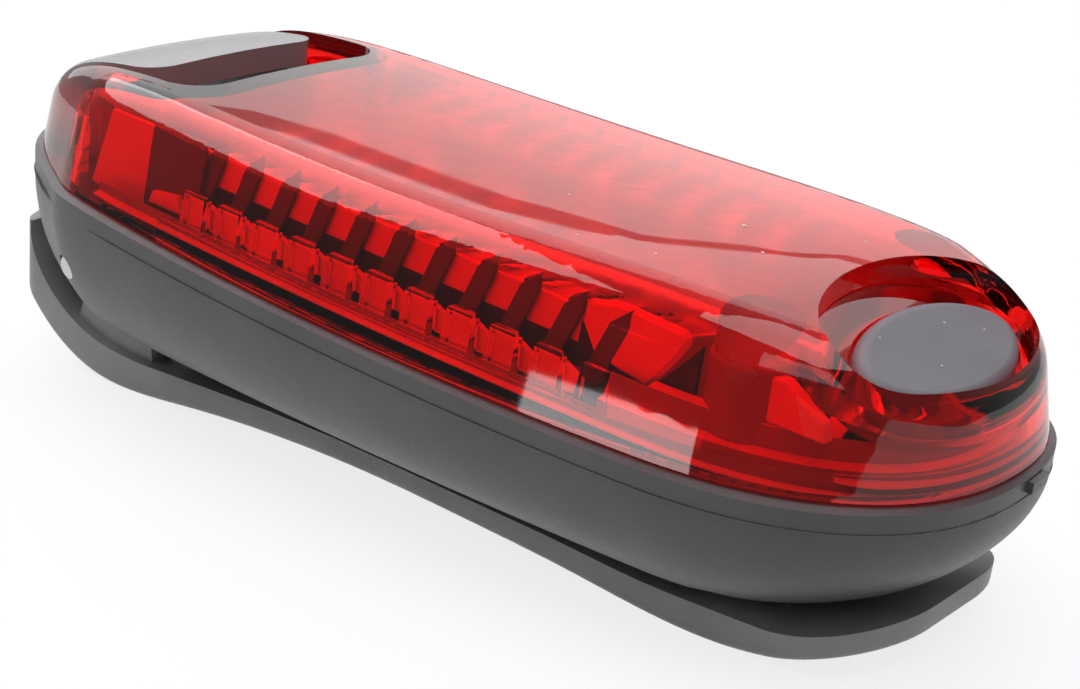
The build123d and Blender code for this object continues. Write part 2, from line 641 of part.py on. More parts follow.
def make_screw(x, y):
    """Case screw driven from below into the post of the lens."""
    shank = post(x, y, SCREW_RADIUS, SCREW_SEAT_Z - 0.1, SCREW_END_Z)
    head = post(x, y, SCREW_HEAD_RADIUS, SCREW_SEAT_Z - SCREW_HEAD_HEIGHT, SCREW_SEAT_Z)
    head = chamfer(head.edges().group_by(Axis.Z)[0], 0.3)
    half = SCREW_SLOT / 2
    low = SCREW_SEAT_Z - SCREW_HEAD_HEIGHT
    for wide, deep in ((1.1, half), (half, 1.1)):
        head = head - block(x - wide, x + wide, y - deep, y + deep, low - 1, low + 0.7)
    return head + shank


def make_button():
    """Soft push button: oval pad with a slanted face, a flange under the collar and a stem."""
    pad = oval(BUTTON_HALF_LENGTH, BUTTON_HALF_WIDTH, BUTTON_X, 0, 14) & below_slope(0)
    pad = fillet(pad.faces().sort_by(Axis.Z)[-1].edges(), BUTTON_EDGE)
    under = -DISH_DEPTH - COLLAR_WALL - COLLAR_GAP
    pad = pad - below_slope(under - BUTTON_FLANGE_HEIGHT)
    flange = oval(BUTTON_HALF_LENGTH + BUTTON_FLANGE, BUTTON_HALF_WIDTH + BUTTON_FLANGE,
                  BUTTON_X - BUTTON_FLANGE_SHIFT, -2, 14)
    flange = (flange & below_slope(under)) - below_slope(under - BUTTON_FLANGE_HEIGHT)
    stem = post(SWITCH_X, 0, STEM_RADIUS, plunger_top_z, BUTTON_TOP_Z - 3)
    return pad + flange + stem


def make_switch():
    """Switch body on the board, bored for its plunger."""
    half = SWITCH_SIZE / 2
    top = BOARD_TOP_Z + SWITCH_HEIGHT
    body = block(SWITCH_X - half, SWITCH_X + half, -half, half, BOARD_TOP_Z, top)
    body = chamfer(body.edges().filter_by(Axis.Z), 0.4)
    bore_low = top - PLUNGER_SEAT - BUTTON_TRAVEL - 0.1
    return body - post(SWITCH_X, 0, PLUNGER_RADIUS + PLUNGER_FIT, bore_low, top + 1)


def make_plunger():
    """Round plunger of the switch."""
    top = BOARD_TOP_Z + SWITCH_HEIGHT
    return post(SWITCH_X, 0, PLUNGER_RADIUS, top - PLUNGER_SEAT, plunger_top_z)


def make_seal():
    """Soft strip between the skirt of the lens and the ledge of the base."""
    return ring_strip(SEAL_INSET, SEAL_WIDTH, seal_top, seal_bottom)


def make_chip():
    """Driver chip with a row of legs on each side."""
    wide, long, tall = CHIP_SIZE
    low = BOARD_TOP_Z + 0.1
    body = block(CHIP_X - wide / 2, CHIP_X + wide / 2, -long / 2, long / 2, low, BOARD_TOP_Z + tall)
    for index in range(4):
        y = (index - 1.5) * 1.27
        reach = wide / 2 + 0.8
        body = body + block(CHIP_X - reach, CHIP_X + reach, y - 0.2, y + 0.2, BOARD_TOP_Z, BOARD_TOP_Z + 0.3)
    return body


def make_resistors():
    """Row of small chip resistors."""
    wide, long, tall = RESISTOR_SIZE
    pieces = []
    for index in range(RESISTOR_COUNT):
        y = (index - (RESISTOR_COUNT - 1) / 2) * RESISTOR_PITCH
        pieces.append(Pos(RESISTOR_X, y, BOARD_TOP_Z + tall / 2) * Box(wide, long, tall))
    return Compound(pieces)


def stand_angle():
    """Angle that brings the clip's belly and the near part of its arm down to one level."""
    curve = Spline(*CLIP_UNDERSIDE)
    points = [curve @ (index / 200) for index in range(201)]
    belly = min(points, key=lambda point: point.Y)
    slope = min((point.Y - belly.Y) / (point.X - belly.X) for point in points if point.X > 0)
    belly = min(points, key=lambda point: point.Y - slope * point.X)
    slope = min((point.Y - belly.Y) / (point.X - belly.X) for point in points if point.X > 0)
    return math.degrees(math.atan(slope))


spring_half = (SPRING_TURNS + 0.5) * SPRING_PITCH / 2
nodes = {
    "lens_cover": make_lens(),
    "base_housing": make_base(),
    "seal_gasket": make_seal(),
    "circuit_board": make_board(),
    "reflector": make_reflector(),
    "driver_chip": make_chip(),
    "chip_resistors": make_resistors(),
    "switch_body": make_switch(),
    "switch_plunger": make_plunger(),
    "push_button": make_button(),
    "battery_tray": make_tray(),
    "coin_cell_1": make_cell(CELL_X[0]),
    "coin_cell_2": make_cell(CELL_X[1]),
    "cell_link_plate": make_link(),
    "contact_spring_positive": make_contact(CELL_X[0] - 3.0, -1),
    "contact_spring_negative": make_contact(CELL_X[1] - 3.0, 1),
    "case_screws": Compound([make_screw(x, y) for x, y in screw_places]),
    "clip_lever": make_clip(),
    "hinge_pin": Pos(HINGE_X, 0, HINGE_Z) * Rot(90, 0, 0) * Cylinder(PIN_RADIUS, PIN_LENGTH),
    "torsion_spring": make_spring(),
}
for index, x in enumerate(lamp_x):
    nodes["led_" + str(index + 1)] = make_lamp(x)

# Set the light down on its clip
tilt = stand_angle()
turned = {name: Rot(0, tilt, 0) * shape for name, shape in nodes.items()}
boxes = [shape.bounding_box() for shape in turned.values()]
low_z = min(box.min.Z for box in boxes) + REST_TRIM
middle_x = (min(box.min.X for box in boxes) + max(box.max.X for box in boxes)) / 2
stand = Pos(-middle_x, 0, -low_z) * Rot(0, tilt, 0)
placed = {name: stand * shape for name, shape in nodes.items()}
placed["clip_lever"] = placed["clip_lever"] - block(-SPAN, SPAN, -SPAN, SPAN, -5, 0)
for name, shape in placed.items():
    export_step(shape, "parts/" + name + ".step")
    print(name, len(shape.solids()), round(shape.volume, 2), shape.is_valid)


def spot(x, y, z):
    """A point of the housing frame after the light is set down."""
    point = (stand * Pos(x, y, z)).position
    return [round(value, 3) for value in (point.X, point.Y, point.Z)]


print("stand tilt", round(tilt, 3), "degrees, shift", round(-middle_x, 3), round(-low_z, 3))
print("hinge at", spot(HINGE_X, 0, HINGE_Z))
print("button at", spot(BUTTON_X, 0, BUTTON_TOP_Z), "plunger at", spot(SWITCH_X, 0, plunger_top_z))
print("slot middle at", spot(NOTCH_EDGE_X - SLOT_GAP / 2, 0, 4), "jaw at", spot(28, 0, -9))
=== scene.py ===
import bpy
import json
import math
from mathutils import Matrix, Vector


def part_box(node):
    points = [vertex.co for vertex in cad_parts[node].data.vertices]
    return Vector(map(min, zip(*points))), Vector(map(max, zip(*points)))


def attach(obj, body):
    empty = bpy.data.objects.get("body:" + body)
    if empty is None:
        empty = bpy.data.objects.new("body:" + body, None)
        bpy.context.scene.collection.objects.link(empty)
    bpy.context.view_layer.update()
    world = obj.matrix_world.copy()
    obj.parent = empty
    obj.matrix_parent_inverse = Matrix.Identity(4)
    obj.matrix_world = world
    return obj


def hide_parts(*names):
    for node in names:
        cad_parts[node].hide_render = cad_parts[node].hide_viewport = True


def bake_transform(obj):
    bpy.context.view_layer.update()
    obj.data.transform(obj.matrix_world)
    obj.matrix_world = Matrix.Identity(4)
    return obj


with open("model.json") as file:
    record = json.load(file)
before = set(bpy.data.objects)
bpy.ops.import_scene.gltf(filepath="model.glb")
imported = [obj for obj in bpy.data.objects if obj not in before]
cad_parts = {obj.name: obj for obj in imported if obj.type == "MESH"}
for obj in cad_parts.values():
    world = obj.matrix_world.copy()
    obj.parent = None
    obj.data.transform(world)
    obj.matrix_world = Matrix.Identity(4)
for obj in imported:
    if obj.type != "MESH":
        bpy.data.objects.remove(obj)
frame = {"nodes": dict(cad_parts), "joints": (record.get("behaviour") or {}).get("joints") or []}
bpy.ops.object.select_all(action="DESELECT")
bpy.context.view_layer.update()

# Base housing
# The dark lower shell is one injection moulding in satin grey plastic with a spark-eroded surface. It
# carries the cells, the board and the hinge of the clip. The tongue in the lanyard notch is part of it.
# Its top is glossier and painted a lighter grey, a painted sheen.
MM = 0.001
DARK_GREY = (0.054, 0.051, 0.055)
SATIN = 0.4
GRAIN_SIZE = 0.13 * MM
GRAIN_DEPTH = 0.03 * MM
GRAIN_DETAIL = 3.0
GRAIN_SMOOTHER = 0.06
GRAIN_ROUGHER = 0.08
MOTTLE_SIZE = 6.0 * MM
MOTTLE_CHANGE = 0.12
# Above these heights the housing's top is painted a lighter grey as a painted sheen, and made glossier.
SHEEN_LOW_Z = 16.2 * MM
SHEEN_HIGH_Z = 18.5 * MM
TOP_ROUGHNESS = 0.17
PAINTED_SHEEN_GREY = (0.23, 0.226, 0.24)


def new_finish(name, color, roughness):
    """Material with one Principled shader."""
    finish = bpy.data.materials.new(name)
    finish.use_nodes = True
    shader = finish.node_tree.nodes["Principled BSDF"]
    shader.inputs["Base Color"].default_value = (*color, 1)
    shader.inputs["Roughness"].default_value = roughness
    return finish, shader


def grain(finish, size, detail=2.0, stretch=(1, 1, 1)):
    """Noise on the piece's own coordinates, with features of about that size in metres."""
    nodes = finish.node_tree.nodes
    links = finish.node_tree.links
    place = nodes.new("ShaderNodeTexCoord")
    scaling = nodes.new("ShaderNodeMapping")
    scaling.inputs["Scale"].default_value = [part / size for part in stretch]
    pattern = nodes.new("ShaderNodeTexNoise")
    pattern.inputs["Scale"].default_value = 1.0
    pattern.inputs["Detail"].default_value = detail
    links.new(place.outputs["Object"], scaling.inputs["Vector"])
    links.new(scaling.outputs["Vector"], pattern.inputs["Vector"])
    return pattern.outputs["Fac"]


def spread(finish, source, low, high, start=0.3, end=0.7):
    """Pattern value brought from the range start to end into low to high."""
    node = finish.node_tree.nodes.new("ShaderNodeMapRange")
    finish.node_tree.links.new(source, node.inputs["Value"])
    for name, value in (("From Min", start), ("From Max", end), ("To Min", low), ("To Max", high)):
        node.inputs[name].default_value = value
    return node.outputs["Result"]


def tint(finish, source, first, second):
    """Colour between first and second, as the source goes from 0 to 1."""
    node = finish.node_tree.nodes.new("ShaderNodeMix")
    node.data_type = "RGBA"
    finish.node_tree.links.new(source, node.inputs["Factor"])
    node.inputs["A"].default_value = (*first, 1)
    node.inputs["B"].default_value = (*second, 1)
    return node.outputs["Result"]


def relief(finish, shader, source, height):
    """Surface relief of that height in metres."""
    node = finish.node_tree.nodes.new("ShaderNodeBump")
    node.inputs["Distance"].default_value = height
    finish.node_tree.links.new(source, node.inputs["Height"])
    finish.node_tree.links.new(node.outputs["Normal"], shader.inputs["Normal"])


def moulded(name, color, roughness, depth):
    """Satin moulded plastic: fine grain, faint mottling and a little change of gloss."""
    finish, shader = new_finish(name, color, roughness)
    links = finish.node_tree.links
    cloud = spread(finish, grain(finish, MOTTLE_SIZE, GRAIN_DETAIL), 0.0, 1.0)
    darker = [part * (1 - MOTTLE_CHANGE) for part in color]
    lighter = [part * (1 + MOTTLE_CHANGE) for part in color]
    links.new(tint(finish, cloud, darker, lighter), shader.inputs["Base Color"])
    fine = grain(finish, GRAIN_SIZE, GRAIN_DETAIL)
    gloss = spread(finish, fine, roughness - GRAIN_SMOOTHER, roughness + GRAIN_ROUGHER)
    links.new(gloss, shader.inputs["Roughness"])
    relief(finish, shader, fine, depth)
    return finish


def dress(name, finish):
    """Gives a node of the frame its finish."""
    for slot in frame["nodes"][name].material_slots:
        slot.material = finish


dark_plastic = moulded("dark_plastic", DARK_GREY, SATIN, GRAIN_DEPTH)
dark_nodes = dark_plastic.node_tree.nodes
dark_links = dark_plastic.node_tree.links
dark_shader = dark_nodes["Principled BSDF"]
dark_place = dark_nodes.new("ShaderNodeTexCoord")
dark_height = dark_nodes.new("ShaderNodeSeparateXYZ")
dark_links.new(dark_place.outputs["Object"], dark_height.inputs["Vector"])
# Above this height the grey is painted lighter, a painted sheen, and the roughness drops.
painted_sheen_and_gloss = spread(dark_plastic, dark_height.outputs["Z"], 0.0, 1.0, SHEEN_LOW_Z, SHEEN_HIGH_Z)
top_values = (("Roughness", "FLOAT", TOP_ROUGHNESS), ("Base Color", "RGBA", (*PAINTED_SHEEN_GREY, 1)))
for socket, kind, top_value in top_values:
    top_mix = dark_nodes.new("ShaderNodeMix")
    top_mix.data_type = kind
    dark_links.new(painted_sheen_and_gloss, top_mix.inputs["Factor"])
    dark_links.new(dark_shader.inputs[socket].links[0].from_socket, top_mix.inputs["A"])
    top_mix.inputs["B"].default_value = top_value
    dark_links.new(top_mix.outputs["Result"], dark_shader.inputs[socket])
dress("base_housing", dark_plastic)

# Clip lever
# The lever is moulded in the same plastic, a little rougher. Its grey is painted paler than the base's, as
# painted light on its shaded sides. Its ears turn on the hinge pin, and its long arm presses cloth or a
# strap against the hull.
# Paler than the base's grey: painted light for the lever's shaded sides.
CLIP_PAINTED_LIGHT_GREY = (0.22, 0.214, 0.219)
CLIP_ROUGHNESS = 0.42
CLIP_GRAIN_DEPTH = 1.4 * GRAIN_DEPTH
LEVER_EDGE = 0.45 * MM
LEVER_EDGE_ANGLE = 28
LEVER_FLAT_ANGLE = 1.5
LEVER_SMOOTH_ANGLE = 32
WELD_REACH = 0.002 * MM


def edit(piece):
    """Opens a piece for editing with everything on it selected."""
    bpy.ops.object.select_all(action="DESELECT")
    bpy.context.view_layer.objects.active = piece
    piece.select_set(True)
    bpy.ops.object.mode_set(mode="EDIT")
    bpy.ops.mesh.select_all(action="SELECT")


def soften(piece, width, segments=2, angle=30):
    """Rounds the sharp edges of a piece."""
    bevel = piece.modifiers.new("edge", "BEVEL")
    bevel.width = width
    bevel.segments = segments
    bevel.limit_method = "ANGLE"
    bevel.angle_limit = math.radians(angle)
    bpy.context.view_layer.objects.active = piece
    bpy.ops.object.modifier_apply(modifier="edge")
    return piece


def second_skin(node, name):
    """Copy of a node of the frame, with its own mesh."""
    piece = frame["nodes"][node].copy()
    piece.data = piece.data.copy()
    piece.name = name
    bpy.context.scene.collection.objects.link(piece)
    return piece


def weld(piece, flat_angle=0.0):
    """Merges a copy's loose triangles into one skin, and then faces that turn by less than the angle."""
    edit(piece)
    bpy.ops.mesh.customdata_custom_splitnormals_clear()
    bpy.ops.mesh.remove_doubles(threshold=WELD_REACH)
    if flat_angle:
        bpy.ops.mesh.dissolve_limited(angle_limit=math.radians(flat_angle))
    bpy.ops.object.mode_set(mode="OBJECT")


def smooth(piece, angle):
    """Shades a piece as round where its faces turn by less than the angle."""
    bpy.ops.object.select_all(action="DESELECT")
    bpy.context.view_layer.objects.active = piece
    piece.select_set(True)
    bpy.ops.object.shade_smooth_by_angle(angle=math.radians(angle))
    piece.select_set(False)


clip_plastic_painted_light = moulded("clip_plastic_painted_light", CLIP_PAINTED_LIGHT_GREY, CLIP_ROUGHNESS, CLIP_GRAIN_DEPTH)
dress("clip_lever", clip_plastic_painted_light)
lever = second_skin("clip_lever", "rounded_lever")
weld(lever, LEVER_FLAT_ANGLE)
soften(lever, LEVER_EDGE, 3, LEVER_EDGE_ANGLE)
smooth(lever, LEVER_SMOOTH_ANGLE)
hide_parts("clip_lever")
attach(lever, "clip")

# Hinge pin, torsion spring and the other metal parts
# The pin is ground steel, pressed into the base. The spring is a coil of bright wire round it: its upper
# leg rests in the base, and its lower leg follows the lever. Screws, cells and contacts are steel too.
STEEL_GREY = (0.62, 0.61, 0.60)
STEEL_ROUGHNESS = 0.3
DRAWN_LINE = 0.2 * MM
DRAWN_DEPTH = 0.004 * MM
DRAWN_DETAIL = 4.0
DRAWN_STRETCH = (1, 0.1, 1)
DRAWN_SMOOTHER = 0.08
DRAWN_ROUGHER = 0.1
DRAWN_SHADE = 0.82
HINGE_PLACE = Vector((-26.5 * MM, 0.0, -5.3 * MM))
SPRING_SMOOTH_ANGLE = 40

# The light leans on its clip. stand brings a place from the upright housing to the table.
joints = {joint["name"]: joint for joint in frame["joints"]}
press = joints["button_press"]["axis"]
lean = Matrix.Rotation(math.atan2(-press[0], -press[2]), 4, "Y")
stand = Matrix.Translation(Vector(joints["clip_hinge"]["pos_m"]) - lean @ HINGE_PLACE) @ lean


def metal(name, color, roughness, stretch):
    """Bright metal with fine drawn lines."""
    finish, shader = new_finish(name, color, roughness)
    shader.inputs["Metallic"].default_value = 1.0
    lines = grain(finish, DRAWN_LINE, DRAWN_DETAIL, stretch)
    links = finish.node_tree.links
    gloss = spread(finish, lines, roughness - DRAWN_SMOOTHER, roughness + DRAWN_ROUGHER)
    links.new(gloss, shader.inputs["Roughness"])
    darker = [part * DRAWN_SHADE for part in color]
    links.new(tint(finish, spread(finish, lines, 0.0, 1.0), darker, color), shader.inputs["Base Color"])
    relief(finish, shader, lines, DRAWN_DEPTH)
    return finish


steel = metal("ground_steel", STEEL_GREY, STEEL_ROUGHNESS, DRAWN_STRETCH)
for name in ("hinge_pin", "torsion_spring", "case_screws", "coin_cell_1", "coin_cell_2", "cell_link_plate",
             "contact_spring_positive", "contact_spring_negative"):
    dress(name, steel)

# The coil bends between two bodies, so it no longer rides on the one that its node rides on.
spring = second_skin("torsion_spring", "sprung_coil")
spring.parent = None
weld(spring)
smooth(spring, SPRING_SMOOTH_ANGLE)
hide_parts("torsion_spring")
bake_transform(spring)

# Battery tray, board, chip, resistors and switch
# A lacquered glass-fibre board carries the lamps, the driver chip, the resistors and a small switch, all
# soldered on. The black moulded tray below it holds the two cells.
BLACK = (0.02, 0.02, 0.022)
BOARD_GREEN = (0.02, 0.1, 0.045)
BOARD_GLOSS = 0.3
SMOOTH_DEPTH = 0.3 * GRAIN_DEPTH

black_plastic = moulded("black_plastic", BLACK, SATIN, SMOOTH_DEPTH)
for name in ("battery_tray", "driver_chip", "chip_resistors", "switch_body", "switch_plunger"):
    dress(name, black_plastic)
dress("circuit_board", moulded("board_green", BOARD_GREEN, BOARD_GLOSS, SMOOTH_DEPTH))

# Lamps
# Five domed lamps are cast in pale red resin. Their leads are soldered to the board, and their domes
# stand in the funnels of the reflector.
LAMP_COUNT = 5
RESIN_RED = (0.7, 0.25, 0.22)
RESIN_GLOSS = 0.12
POLISHED_DEPTH = 0.1 * GRAIN_DEPTH

lamp_resin = moulded("lamp_resin", RESIN_RED, RESIN_GLOSS, POLISHED_DEPTH)
for index in range(LAMP_COUNT):
    dress("led_" + str(index + 1), lamp_resin)

# Reflector tray
# The tray is moulded with a square funnel round each lamp, and its plating is bright but soft. It
# stands on the board, between the long walls of the cover.
PLATING_GREY = (0.62, 0.6, 0.6)
PLATING_GLOSS = 0.3

dress("reflector", moulded("bright_plating", PLATING_GREY, PLATING_GLOSS, POLISHED_DEPTH))

# Tooth plates
# Thin frosted plates lie behind the prism teeth of the lens, painted light for the light that enters the
# teeth from above. Thin pale bars on their edges are painted highlights of the teeth's bevelled edges.
# They are moulded on one strip, which snaps in behind each long wall of the cover.
PALE = (0.93, 0.9, 0.88)
FROSTED = (0.9, 0.86, 0.84)
PALE_ROUGHNESS = 0.35
FROSTED_ROUGHNESS = 0.3
THIN_DEPTH = 0.2 * GRAIN_DEPTH
TOOTH_PITCH = 3.25 * MM
TOOTH_START_X = -15.0 * MM
TOOTH_COUNT = 10
TOOTH_FACE = 1.75 * MM
TOOTH_REACH = 0.96 * TOOTH_PITCH
TOOTH_LOW_Z = 1.35 * MM
TOOTH_TOP_Z = 3.0 * MM
TOOTH_DROP = 0.7 * MM
TOOTH_Y = -11.62 * MM
FACE_BACK_Y = TOOTH_Y + 0.1 * MM
SLOPE_FRONT_Y = TOOTH_Y + 0.12 * MM
SLOPE_BACK_Y = TOOTH_Y + 0.2 * MM
EDGE_FRONT_Y = TOOTH_Y - 0.12 * MM
EDGE_WIDTH = 0.16 * MM


def prism(name, outline, low_y, high_y):
    """Bar across the light with an outline of x and z places."""
    bpy.ops.mesh.primitive_circle_add(vertices=len(outline), fill_type="NGON")
    piece = bpy.context.active_object
    piece.name = name
    for vertex, (x, z) in zip(piece.data.vertices, outline):
        vertex.co = (x, low_y, z)
    edit(piece)
    bpy.ops.mesh.extrude_region_move(TRANSFORM_OT_translate={"value": (0, high_y - low_y, 0)})
    bpy.ops.mesh.select_all(action="SELECT")
    bpy.ops.mesh.normals_make_consistent(inside=False)
    bpy.ops.object.mode_set(mode="OBJECT")
    return piece


def edge_bar(start, end, width, low_y, high_y):
    """Straight raised edge between two places in the x-z plane."""
    run = Vector((end[0] - start[0], end[1] - start[1])).normalized() * width / 2
    across = Vector((-run.y, run.x))
    corners = [Vector(start) - run - across, Vector(end) + run - across,
               Vector(end) + run + across, Vector(start) - run + across]
    return prism("edge", [tuple(corner) for corner in corners], low_y, high_y)


def join(name, pieces):
    """One piece out of several."""
    bpy.ops.object.select_all(action="DESELECT")
    for piece in pieces:
        piece.select_set(True)
    bpy.context.view_layer.objects.active = pieces[0]
    bpy.ops.object.join()
    pieces[0].name = name
    bpy.ops.object.select_all(action="DESELECT")
    return pieces[0]


def mirrored(piece, name):
    """Copy of a piece on the other long side, with its faces turned outwards again."""
    twin = piece.copy()
    twin.data = piece.data.copy()
    twin.name = name
    twin.data.transform(Matrix.Scale(-1, 4, (0, 1, 0)))
    bpy.context.scene.collection.objects.link(twin)
    edit(twin)
    bpy.ops.mesh.normals_make_consistent(inside=False)
    bpy.ops.object.mode_set(mode="OBJECT")
    return twin


def set_down(piece, finish):
    """Brings a piece from the upright housing's frame to the table, with its finish, on the housing."""
    piece.data.transform(stand)
    piece.data.materials.clear()
    piece.data.materials.append(finish)
    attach(piece, "housing")


def set_down_pair(piece, finish):
    """Sets down a piece of the near side, and its mirror image on the far side."""
    far = mirrored(piece, piece.name.replace("near", "far"))
    set_down(far, finish)
    set_down(piece, finish)


pale_plastic = moulded("pale_plastic", PALE, PALE_ROUGHNESS, THIN_DEPTH)
frosted_plastic = moulded("frosted_plastic", FROSTED, FROSTED_ROUGHNESS, THIN_DEPTH)
painted_light_plates = []
highlight_bars = []
for index in range(TOOTH_COUNT):
    x = TOOTH_START_X + index * TOOTH_PITCH
    right_x = x + TOOTH_FACE
    end_x = x + TOOTH_REACH
    end_z = TOOTH_TOP_Z - TOOTH_DROP
    face = [(x, TOOTH_LOW_Z), (right_x, TOOTH_LOW_Z), (right_x, TOOTH_TOP_Z), (x, TOOTH_TOP_Z)]
    slope = [(right_x, TOOTH_LOW_Z), (end_x, TOOTH_LOW_Z), (end_x, end_z), (right_x, TOOTH_TOP_Z)]
    # Frosted plate and slope behind the tooth: painted light.
    painted_light_plates.append(prism("face", face, TOOTH_Y, FACE_BACK_Y))
    painted_light_plates.append(prism("slope", slope, SLOPE_FRONT_Y, SLOPE_BACK_Y))
    # Pale bars round the tooth: painted highlights.
    for start, end in (((x, TOOTH_LOW_Z), (x, TOOTH_TOP_Z)),
                       ((x, TOOTH_TOP_Z), (right_x, TOOTH_TOP_Z)),
                       ((right_x, TOOTH_LOW_Z), (right_x, TOOTH_TOP_Z + EDGE_WIDTH)),
                       ((right_x, TOOTH_TOP_Z), (end_x, end_z)),
                       ((x, TOOTH_LOW_Z), (end_x, TOOTH_LOW_Z))):
        highlight_bars.append(edge_bar(start, end, EDGE_WIDTH, EDGE_FRONT_Y, TOOTH_Y))
tooth_painted_light = join("tooth_faces_near", painted_light_plates)
tooth_highlight_bars = join("tooth_edges_near", highlight_bars)
set_down_pair(tooth_painted_light, frosted_plastic)
set_down_pair(tooth_highlight_bars, pale_plastic)

# Side screens
# A pale moulded strip stands on each long side behind the teeth, over a near-black block that is painted
# shade for a dark gap, and dark ribs lean in front of it. Each rib ends in a point under the roof. They
# clip in behind the wall of the cover.
MAROON = (0.085, 0.07, 0.08)
SHADOW = (0.008, 0.008, 0.008)
SHADOW_ROUGHNESS = 0.5
SCREEN_START_X = TOOTH_START_X - 0.2 * TOOTH_PITCH
SCREEN_END_X = TOOTH_START_X + (TOOTH_COUNT + 0.4) * TOOTH_PITCH
SCREEN_FRONT_Y = -10.2 * MM
SCREEN_BACK_Y = SCREEN_FRONT_Y + 0.3 * MM
SCREEN_LOW_Z = 3.6 * MM
SCREEN_TOP_Z = 5.7 * MM
SCREEN_EDGE = 0.1 * MM
GAP_LOW_Z = 0.3 * MM
GAP_EDGE = 0.06 * MM
RIB_Y = -10.65 * MM
RIB_DEPTH = 0.35 * MM
RIB_WIDTH = 1.35 * MM
RIB_LOW_Z = 1.2 * MM
RIB_LEAN = 0.42
RIB_TIP = 1.1 * MM
RIB_TIP_X = 0.7 * RIB_WIDTH + RIB_LEAN * RIB_TIP
RIB_EDGE = 0.08 * MM


def block(name, low, high):
    """Block between two corners, in the frame of the upright housing."""
    centre = [(a + b) / 2 for a, b in zip(low, high)]
    bpy.ops.mesh.primitive_cube_add(size=1.0)
    piece = bpy.context.active_object
    piece.name = name
    edit(piece)
    bpy.ops.transform.resize(value=[b - a for a, b in zip(low, high)], center_override=(0, 0, 0))
    bpy.ops.transform.translate(value=centre)
    bpy.ops.object.mode_set(mode="OBJECT")
    return piece


maroon_plastic = moulded("maroon_plastic", MAROON, PALE_ROUGHNESS, THIN_DEPTH)
shadow_plastic = moulded("shadow_plastic", SHADOW, SHADOW_ROUGHNESS, THIN_DEPTH)
screen = block("screen_near", (SCREEN_START_X, SCREEN_FRONT_Y, SCREEN_LOW_Z),
               (SCREEN_END_X, SCREEN_BACK_Y, SCREEN_TOP_Z))
soften(screen, SCREEN_EDGE)
# Near-black block under the strip: painted shade where a gap is dark.
gap_shade = block("gap_near", (SCREEN_START_X, SCREEN_FRONT_Y, GAP_LOW_Z),
            (SCREEN_END_X, SCREEN_BACK_Y, SCREEN_LOW_Z))
soften(gap_shade, GAP_EDGE)
ribs = []
for index in range(-1, TOOTH_COUNT):
    x = TOOTH_START_X + index * TOOTH_PITCH + TOOTH_FACE
    shoulder_x = x + RIB_LEAN * (SCREEN_TOP_Z - RIB_LOW_Z)
    outline = [(x, RIB_LOW_Z), (x + RIB_WIDTH, RIB_LOW_Z), (shoulder_x + RIB_WIDTH, SCREEN_TOP_Z),
               (shoulder_x + RIB_TIP_X, SCREEN_TOP_Z + RIB_TIP), (shoulder_x, SCREEN_TOP_Z)]
    ribs.append(prism("rib", outline, RIB_Y, RIB_Y + RIB_DEPTH))
rib_row = soften(join("ribs_near", ribs), RIB_EDGE)
set_down_pair(screen, pale_plastic)
set_down_pair(gap_shade, shadow_plastic)
set_down_pair(rib_row, maroon_plastic)

# Facet strips and blades
# A strip of pale moulded plastic with small facets runs just above each edge of the reflector and
# scatters the light. Thin dark blades, moulded with the ribs, lie across it at their pitch.
FACET_INNER_Y = -4.7 * MM
FACET_OUTER_Y = -10.1 * MM
FACET_Z = 5.0 * MM
FACET_RELIEF = 0.42 * MM
FACET_COLUMNS = 2 * TOOTH_COUNT
FACET_ROWS = 3
WAVE_SHARE = 0.35
WAVE_ALONG = 2.1
WAVE_ACROSS = 1.7
BLADE_CORNERS = 20
BLADE_SHIFT_X = TOOTH_FACE + 2.4 * MM
BLADE_Y = -7.1 * MM
BLADE_Z = 5.75 * MM
BLADE_REACH = 3.3 * MM
BLADE_WIDTH = 1.15 * MM
BLADE_LEAN = 0.12
SHEET = 0.25 * MM

bpy.ops.mesh.primitive_grid_add(x_subdivisions=FACET_COLUMNS, y_subdivisions=FACET_ROWS, size=1.0)
facets = bpy.context.active_object
facets.name = "facets_near"
for vertex in facets.data.vertices:
    column = round((vertex.co.x + 0.5) * FACET_COLUMNS)
    row = round((vertex.co.y + 0.5) * FACET_ROWS)
    wave = math.sin(WAVE_ALONG * column + WAVE_ACROSS * row)
    vertex.co = (SCREEN_START_X + column * (SCREEN_END_X - SCREEN_START_X) / FACET_COLUMNS,
                 FACET_OUTER_Y + row * (FACET_INNER_Y - FACET_OUTER_Y) / FACET_ROWS,
                 FACET_Z + FACET_RELIEF * ((column + row) % 2 + WAVE_SHARE * wave))
edit(facets)
bpy.ops.mesh.quads_convert_to_tris(quad_method="FIXED", ngon_method="BEAUTY")
bpy.ops.object.mode_set(mode="OBJECT")
facet_sheet = facets.modifiers.new("sheet", "SOLIDIFY")
facet_sheet.thickness = SHEET
facet_sheet.offset = -1
bpy.context.view_layer.objects.active = facets
bpy.ops.object.modifier_apply(modifier="sheet")
blades = []
for index in range(-1, TOOTH_COUNT):
    bpy.ops.mesh.primitive_circle_add(vertices=BLADE_CORNERS, fill_type="NGON")
    blade = bpy.context.active_object
    x = TOOTH_START_X + index * TOOTH_PITCH + BLADE_SHIFT_X
    for vertex in blade.data.vertices:
        across = vertex.co.x * abs(vertex.co.x) * BLADE_WIDTH / 2
        along = vertex.co.y * BLADE_REACH
        vertex.co = (x + across + BLADE_LEAN * along, BLADE_Y + along, BLADE_Z)
    edit(blade)
    bpy.ops.mesh.extrude_region_move(TRANSFORM_OT_translate={"value": (0, 0, SHEET)})
    bpy.ops.mesh.select_all(action="SELECT")
    bpy.ops.mesh.normals_make_consistent(inside=False)
    bpy.ops.object.mode_set(mode="OBJECT")
    blades.append(blade)
blade_row = join("blades_near", blades)
set_down_pair(facets, pale_plastic)
set_down_pair(blade_row, maroon_plastic)

